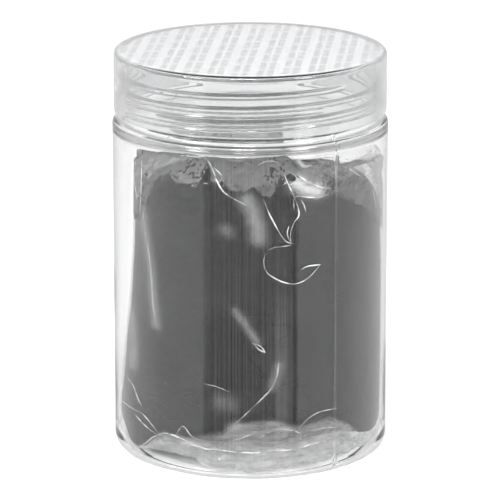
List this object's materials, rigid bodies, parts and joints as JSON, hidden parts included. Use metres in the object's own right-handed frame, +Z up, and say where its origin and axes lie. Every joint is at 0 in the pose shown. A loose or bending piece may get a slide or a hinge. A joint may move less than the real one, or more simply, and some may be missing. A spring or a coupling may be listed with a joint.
{
  "type": "jar of charcoal powder",
  "caption": "Clear round screw-top jar with a foam seal under its lid, holding fine charcoal powder in a loose clear bag.",
  "frame": {"origin": "centre of the plane the jar's foot ring stands on", "axes": "+Z up along the jar's axis; -Y is the jar's front in the reference view; +X is to the right of that view"},
  "size_m": [0.085, 0.085, 0.126],
  "materials": {
    "clear_pet": "clear, glossy",
    "lid_plastic": "clear, very slightly milky",
    "foam": "matt, printed in grey",
    "clear_film": "thin crinkled film, dusty inside",
    "charcoal": "dull fine powder"
  },
  "bodies": {
    "jar": {"jar": "clear_pet"},
    "contents": {"inner_bag": "clear_film", "charcoal_powder": "charcoal"},
    "seal": {"seal_liner": "foam"},
    "lid": {"lid": "lid_plastic"}
  },
  "joints": [
    {"name": "lid_turn", "type": "hinge", "parent": "seal", "child": "lid", "pos_m": [0, 0, 0.126], "axis": [0, 0, 1], "range_deg": [0, 1800]},
    {"name": "lid_lift", "type": "slide", "parent": "jar", "child": "seal", "axis": [0, 0, 1], "range_m": [0, 0.0201]},
    {"name": "bag_lift", "type": "slide", "parent": "jar", "child": "contents", "axis": [0, 0, 1], "range_m": [0, 0.007]}
  ],
  "couplings": [
    {"joint": "lid_lift", "follows": "lid_turn", "m_per_rad": 0.00063662}
  ]
}
